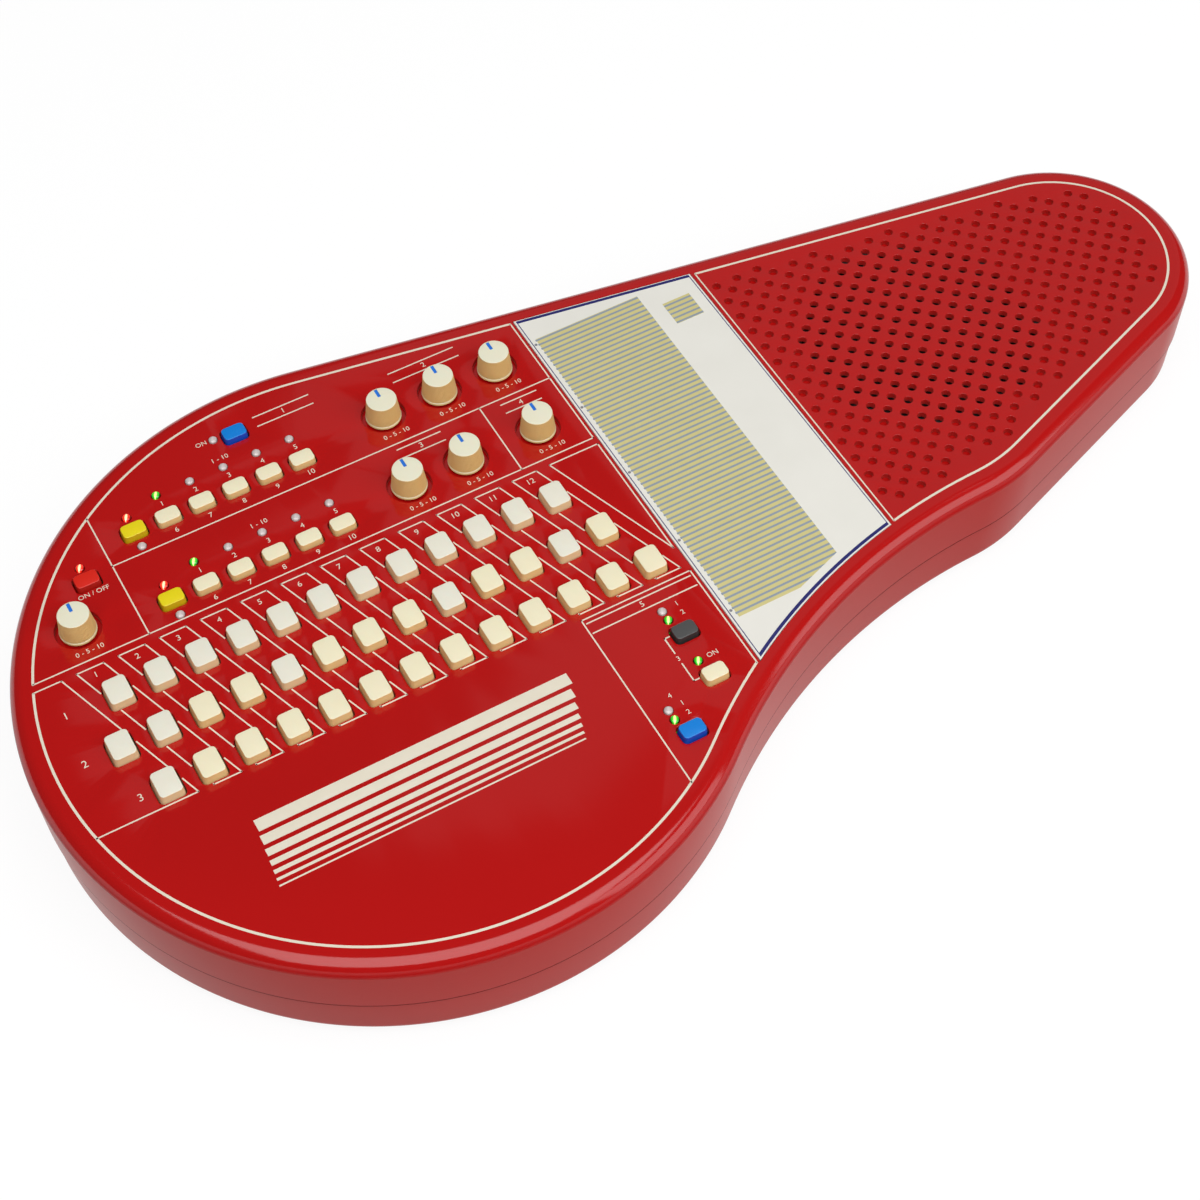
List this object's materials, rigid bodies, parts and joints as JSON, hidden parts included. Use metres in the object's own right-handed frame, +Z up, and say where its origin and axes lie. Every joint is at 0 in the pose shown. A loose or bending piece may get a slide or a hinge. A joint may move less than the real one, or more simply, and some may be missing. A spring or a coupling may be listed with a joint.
{
  "type": "electronic autoharp",
  "caption": "Electronic autoharp: teardrop case with chord keys in slanted columns, function keys, lamps, knobs, a touch plate to strum and a speaker grille.",
  "frame": {"origin": "bottom centre: midway along and across the case, on the surface that its feet stand on", "axes": "+X along the case towards its small end, +Y towards its straight back, +Z up out of the panel"},
  "size_m": [0.5768, 0.3085, 0.0685],
  "materials": {
    "case": "glossy deep red",
    "key_white": "satin off-white",
    "key_cream": "satin cream",
    "key_yellow": "satin yellow",
    "key_blue": "satin blue",
    "key_red": "satin red",
    "key_grey": "satin dark grey",
    "knob": "knurled cream with a blue pointer",
    "plate": "smooth off-white sheet",
    "board": "green laminate",
    "speaker": "black paper cone and painted basket"
  },
  "bodies": {
    "case": {"upper_case": "case", "lower_case": "case", "strum_plate": "plate", "control_board": "board", "speaker": "speaker"},
    "battery_door": {"battery_door": "case"},
    "chord_key_major_01": {"chord_key_major_01": "key_white"},
    "chord_key_major_02": {"chord_key_major_02": "key_white"},
    "chord_key_major_03": {"chord_key_major_03": "key_white"},
    "chord_key_major_04": {"chord_key_major_04": "key_white"},
    "chord_key_major_05": {"chord_key_major_05": "key_white"},
    "chord_key_major_06": {"chord_key_major_06": "key_white"},
    "chord_key_major_07": {"chord_key_major_07": "key_white"},
    "chord_key_major_08": {"chord_key_major_08": "key_white"},
    "chord_key_major_09": {"chord_key_major_09": "key_white"},
    "chord_key_major_10": {"chord_key_major_10": "key_white"},
    "chord_key_major_11": {"chord_key_major_11": "key_white"},
    "chord_key_major_12": {"chord_key_major_12": "key_white"},
    "chord_key_minor_01": {"chord_key_minor_01": "key_white"},
    "chord_key_minor_02": {"chord_key_minor_02": "key_white"},
    "chord_key_minor_03": {"chord_key_minor_03": "key_cream"},
    "chord_key_minor_04": {"chord_key_minor_04": "key_cream"},
    "chord_key_minor_05": {"chord_key_minor_05": "key_white"},
    "chord_key_minor_06": {"chord_key_minor_06": "key_cream"},
    "chord_key_minor_07": {"chord_key_minor_07": "key_cream"},
    "chord_key_minor_08": {"chord_key_minor_08": "key_cream"},
    "chord_key_minor_09": {"chord_key_minor_09": "key_white"},
    "chord_key_minor_10": {"chord_key_minor_10": "key_cream"},
    "chord_key_minor_11": {"chord_key_minor_11": "key_cream"},
    "chord_key_minor_12": {"chord_key_minor_12": "key_white"},
    "chord_key_minor_13": {"chord_key_minor_13": "key_cream"},
    "chord_key_seventh_01": {"chord_key_seventh_01": "key_white"},
    "chord_key_seventh_02": {"chord_key_seventh_02": "key_cream"},
    "chord_key_seventh_03": {"chord_key_seventh_03": "key_cream"},
    "chord_key_seventh_04": {"chord_key_seventh_04": "key_cream"},
    "chord_key_seventh_05": {"chord_key_seventh_05": "key_cream"},
    "chord_key_seventh_06": {"chord_key_seventh_06": "key_cream"},
    "chord_key_seventh_07": {"chord_key_seventh_07": "key_cream"},
    "chord_key_seventh_08": {"chord_key_seventh_08": "key_cream"},
    "chord_key_seventh_09": {"chord_key_seventh_09": "key_cream"},
    "chord_key_seventh_10": {"chord_key_seventh_10": "key_cream"},
    "chord_key_seventh_11": {"chord_key_seventh_11": "key_cream"},
    "chord_key_seventh_12": {"chord_key_seventh_12": "key_cream"},
    "chord_key_seventh_13": {"chord_key_seventh_13": "key_cream"},
    "voice_bank_key": {"voice_bank_key": "key_yellow"},
    "pattern_bank_key": {"pattern_bank_key": "key_yellow"},
    "keyboard_key": {"keyboard_key": "key_blue"},
    "power_key": {"power_key": "key_red"},
    "auto_key": {"auto_key": "key_grey"},
    "hold_key": {"hold_key": "key_cream"},
    "start_key": {"start_key": "key_blue"},
    "voice_keys": {"voice_keys": "key_cream"},
    "pattern_keys": {"pattern_keys": "key_cream"},
    "knob_master_volume": {"knob_master_volume": "knob"},
    "knob_sustain": {"knob_sustain": "knob"},
    "knob_main_volume": {"knob_main_volume": "knob"},
    "knob_sub_volume": {"knob_sub_volume": "knob"},
    "knob_tempo": {"knob_tempo": "knob"},
    "knob_rhythm_volume": {"knob_rhythm_volume": "knob"},
    "knob_chord_volume": {"knob_chord_volume": "knob"}
  },
  "joints": [
    {"name": "battery_door_slide", "type": "slide", "parent": "case", "child": "battery_door", "axis": [1, 0, 0], "range_m": [0, 0.008]},
    {"name": "chord_key_major_01_press", "type": "slide", "parent": "case", "child": "chord_key_major_01", "axis": [0, 0, -1], "range_m": [0, 0.0015], "stiffness_N_per_m": 250, "springref_m": -0.001},
    {"name": "chord_key_major_02_press", "type": "slide", "parent": "case", "child": "chord_key_major_02", "axis": [0, 0, -1], "range_m": [0, 0.0015], "stiffness_N_per_m": 250, "springref_m": -0.001},
    {"name": "chord_key_major_03_press", "type": "slide", "parent": "case", "child": "chord_key_major_03", "axis": [0, 0, -1], "range_m": [0, 0.0015], "stiffness_N_per_m": 250, "springref_m": -0.001},
    {"name": "chord_key_major_04_press", "type": "slide", "parent": "case", "child": "chord_key_major_04", "axis": [0, 0, -1], "range_m": [0, 0.0015], "stiffness_N_per_m": 250, "springref_m": -0.001},
    {"name": "chord_key_major_05_press", "type": "slide", "parent": "case", "child": "chord_key_major_05", "axis": [0, 0, -1], "range_m": [0, 0.0015], "stiffness_N_per_m": 250, "springref_m": -0.001},
    {"name": "chord_key_major_06_press", "type": "slide", "parent": "case", "child": "chord_key_major_06", "axis": [0, 0, -1], "range_m": [0, 0.0015], "stiffness_N_per_m": 250, "springref_m": -0.001},
    {"name": "chord_key_major_07_press", "type": "slide", "parent": "case", "child": "chord_key_major_07", "axis": [0, 0, -1], "range_m": [0, 0.0015], "stiffness_N_per_m": 250, "springref_m": -0.001},
    {"name": "chord_key_major_08_press", "type": "slide", "parent": "case", "child": "chord_key_major_08", "axis": [0, 0, -1], "range_m": [0, 0.0015], "stiffness_N_per_m": 250, "springref_m": -0.001},
    {"name": "chord_key_major_09_press", "type": "slide", "parent": "case", "child": "chord_key_major_09", "axis": [0, 0, -1], "range_m": [0, 0.0015], "stiffness_N_per_m": 250, "springref_m": -0.001},
    {"name": "chord_key_major_10_press", "type": "slide", "parent": "case", "child": "chord_key_major_10", "axis": [0, 0, -1], "range_m": [0, 0.0015], "stiffness_N_per_m": 250, "springref_m": -0.001},
    {"name": "chord_key_major_11_press", "type": "slide", "parent": "case", "child": "chord_key_major_11", "axis": [0, 0, -1], "range_m": [0, 0.0015], "stiffness_N_per_m": 250, "springref_m": -0.001},
    {"name": "chord_key_major_12_press", "type": "slide", "parent": "case", "child": "chord_key_major_12", "axis": [0, 0, -1], "range_m": [0, 0.0015], "stiffness_N_per_m": 250, "springref_m": -0.001},
    {"name": "chord_key_minor_01_press", "type": "slide", "parent": "case", "child": "chord_key_minor_01", "axis": [0, 0, -1], "range_m": [0, 0.0015], "stiffness_N_per_m": 250, "springref_m": -0.001},
    {"name": "chord_key_minor_02_press", "type": "slide", "parent": "case", "child": "chord_key_minor_02", "axis": [0, 0, -1], "range_m": [0, 0.0015], "stiffness_N_per_m": 250, "springref_m": -0.001},
    {"name": "chord_key_minor_03_press", "type": "slide", "parent": "case", "child": "chord_key_minor_03", "axis": [0, 0, -1], "range_m": [0, 0.0015], "stiffness_N_per_m": 250, "springref_m": -0.001},
    {"name": "chord_key_minor_04_press", "type": "slide", "parent": "case", "child": "chord_key_minor_04", "axis": [0, 0, -1], "range_m": [0, 0.0015], "stiffness_N_per_m": 250, "springref_m": -0.001},
    {"name": "chord_key_minor_05_press", "type": "slide", "parent": "case", "child": "chord_key_minor_05", "axis": [0, 0, -1], "range_m": [0, 0.0015], "stiffness_N_per_m": 250, "springref_m": -0.001},
    {"name": "chord_key_minor_06_press", "type": "slide", "parent": "case", "child": "chord_key_minor_06", "axis": [0, 0, -1], "range_m": [0, 0.0015], "stiffness_N_per_m": 250, "springref_m": -0.001},
    {"name": "chord_key_minor_07_press", "type": "slide", "parent": "case", "child": "chord_key_minor_07", "axis": [0, 0, -1], "range_m": [0, 0.0015], "stiffness_N_per_m": 250, "springref_m": -0.001},
    {"name": "chord_key_minor_08_press", "type": "slide", "parent": "case", "child": "chord_key_minor_08", "axis": [0, 0, -1], "range_m": [0, 0.0015], "stiffness_N_per_m": 250, "springref_m": -0.001},
    {"name": "chord_key_minor_09_press", "type": "slide", "parent": "case", "child": "chord_key_minor_09", "axis": [0, 0, -1], "range_m": [0, 0.0015], "stiffness_N_per_m": 250, "springref_m": -0.001},
    {"name": "chord_key_minor_10_press", "type": "slide", "parent": "case", "child": "chord_key_minor_10", "axis": [0, 0, -1], "range_m": [0, 0.0015], "stiffness_N_per_m": 250, "springref_m": -0.001},
    {"name": "chord_key_minor_11_press", "type": "slide", "parent": "case", "child": "chord_key_minor_11", "axis": [0, 0, -1], "range_m": [0, 0.0015], "stiffness_N_per_m": 250, "springref_m": -0.001},
    {"name": "chord_key_minor_12_press", "type": "slide", "parent": "case", "child": "chord_key_minor_12", "axis": [0, 0, -1], "range_m": [0, 0.0015], "stiffness_N_per_m": 250, "springref_m": -0.001},
    {"name": "chord_key_minor_13_press", "type": "slide", "parent": "case", "child": "chord_key_minor_13", "axis": [0, 0, -1], "range_m": [0, 0.0015], "stiffness_N_per_m": 250, "springref_m": -0.001},
    {"name": "chord_key_seventh_01_press", "type": "slide", "parent": "case", "child": "chord_key_seventh_01", "axis": [0, 0, -1], "range_m": [0, 0.0015], "stiffness_N_per_m": 250, "springref_m": -0.001},
    {"name": "chord_key_seventh_02_press", "type": "slide", "parent": "case", "child": "chord_key_seventh_02", "axis": [0, 0, -1], "range_m": [0, 0.0015], "stiffness_N_per_m": 250, "springref_m": -0.001},
    {"name": "chord_key_seventh_03_press", "type": "slide", "parent": "case", "child": "chord_key_seventh_03", "axis": [0, 0, -1], "range_m": [0, 0.0015], "stiffness_N_per_m": 250, "springref_m": -0.001},
    {"name": "chord_key_seventh_04_press", "type": "slide", "parent": "case", "child": "chord_key_seventh_04", "axis": [0, 0, -1], "range_m": [0, 0.0015], "stiffness_N_per_m": 250, "springref_m": -0.001},
    {"name": "chord_key_seventh_05_press", "type": "slide", "parent": "case", "child": "chord_key_seventh_05", "axis": [0, 0, -1], "range_m": [0, 0.0015], "stiffness_N_per_m": 250, "springref_m": -0.001},
    {"name": "chord_key_seventh_06_press", "type": "slide", "parent": "case", "child": "chord_key_seventh_06", "axis": [0, 0, -1], "range_m": [0, 0.0015], "stiffness_N_per_m": 250, "springref_m": -0.001},
    {"name": "chord_key_seventh_07_press", "type": "slide", "parent": "case", "child": "chord_key_seventh_07", "axis": [0, 0, -1], "range_m": [0, 0.0015], "stiffness_N_per_m": 250, "springref_m": -0.001},
    {"name": "chord_key_seventh_08_press", "type": "slide", "parent": "case", "child": "chord_key_seventh_08", "axis": [0, 0, -1], "range_m": [0, 0.0015], "stiffness_N_per_m": 250, "springref_m": -0.001},
    {"name": "chord_key_seventh_09_press", "type": "slide", "parent": "case", "child": "chord_key_seventh_09", "axis": [0, 0, -1], "range_m": [0, 0.0015], "stiffness_N_per_m": 250, "springref_m": -0.001},
    {"name": "chord_key_seventh_10_press", "type": "slide", "parent": "case", "child": "chord_key_seventh_10", "axis": [0, 0, -1], "range_m": [0, 0.0015], "stiffness_N_per_m": 250, "springref_m": -0.001},
    {"name": "chord_key_seventh_11_press", "type": "slide", "parent": "case", "child": "chord_key_seventh_11", "axis": [0, 0, -1], "range_m": [0, 0.0015], "stiffness_N_per_m": 250, "springref_m": -0.001},
    {"name": "chord_key_seventh_12_press", "type": "slide", "parent": "case", "child": "chord_key_seventh_12", "axis": [0, 0, -1], "range_m": [0, 0.0015], "stiffness_N_per_m": 250, "springref_m": -0.001},
    {"name": "chord_key_seventh_13_press", "type": "slide", "parent": "case", "child": "chord_key_seventh_13", "axis": [0, 0, -1], "range_m": [0, 0.0015], "stiffness_N_per_m": 250, "springref_m": -0.001},
    {"name": "voice_bank_key_press", "type": "slide", "parent": "case", "child": "voice_bank_key", "axis": [0, 0, -1], "range_m": [0, 0.0015], "stiffness_N_per_m": 300, "springref_m": -0.001},
    {"name": "pattern_bank_key_press", "type": "slide", "parent": "case", "child": "pattern_bank_key", "axis": [0, 0, -1], "range_m": [0, 0.0015], "stiffness_N_per_m": 300, "springref_m": -0.001},
    {"name": "keyboard_key_press", "type": "slide", "parent": "case", "child": "keyboard_key", "axis": [0, 0, -1], "range_m": [0, 0.0015], "stiffness_N_per_m": 300, "springref_m": -0.001},
    {"name": "power_key_press", "type": "slide", "parent": "case", "child": "power_key", "axis": [0, 0, -1], "range_m": [0, 0.0015], "stiffness_N_per_m": 300, "springref_m": -0.001},
    {"name": "auto_key_press", "type": "slide", "parent": "case", "child": "auto_key", "axis": [0, 0, -1], "range_m": [0, 0.0015], "stiffness_N_per_m": 300, "springref_m": -0.001},
    {"name": "hold_key_press", "type": "slide", "parent": "case", "child": "hold_key", "axis": [0, 0, -1], "range_m": [0, 0.0015], "stiffness_N_per_m": 300, "springref_m": -0.001},
    {"name": "start_key_press", "type": "slide", "parent": "case", "child": "start_key", "axis": [0, 0, -1], "range_m": [0, 0.0015], "stiffness_N_per_m": 300, "springref_m": -0.001},
    {"name": "voice_keys_press", "type": "slide", "parent": "case", "child": "voice_keys", "axis": [0, 0, -1], "range_m": [0, 0.0015], "stiffness_N_per_m": 600, "springref_m": -0.001},
    {"name": "pattern_keys_press", "type": "slide", "parent": "case", "child": "pattern_keys", "axis": [0, 0, -1], "range_m": [0, 0.0015], "stiffness_N_per_m": 600, "springref_m": -0.001},
    {"name": "knob_master_volume_turn", "type": "hinge", "parent": "case", "child": "knob_master_volume", "pos_m": [-0.24345, 0.0644, 0.058], "axis": [0, 0, 1], "range_deg": [-150, 150]},
    {"name": "knob_sustain_turn", "type": "hinge", "parent": "case", "child": "knob_sustain", "pos_m": [-0.08355, 0.105, 0.058], "axis": [0, 0, 1], "range_deg": [-150, 150]},
    {"name": "knob_main_volume_turn", "type": "hinge", "parent": "case", "child": "knob_main_volume", "pos_m": [-0.05595, 0.105, 0.058], "axis": [0, 0, 1], "range_deg": [-150, 150]},
    {"name": "knob_sub_volume_turn", "type": "hinge", "parent": "case", "child": "knob_sub_volume", "pos_m": [-0.02835, 0.105, 0.058], "axis": [0, 0, 1], "range_deg": [-150, 150]},
    {"name": "knob_tempo_turn", "type": "hinge", "parent": "case", "child": "knob_tempo", "pos_m": [-0.09115, 0.0644, 0.058], "axis": [0, 0, 1], "range_deg": [-150, 150]},
    {"name": "knob_rhythm_volume_turn", "type": "hinge", "parent": "case", "child": "knob_rhythm_volume", "pos_m": [-0.06375, 0.0644, 0.058], "axis": [0, 0, 1], "range_deg": [-150, 150]},
    {"name": "knob_chord_volume_turn", "type": "hinge", "parent": "case", "child": "knob_chord_volume", "pos_m": [-0.02835, 0.0644, 0.058], "axis": [0, 0, 1], "range_deg": [-150, 150]}
  ]
}
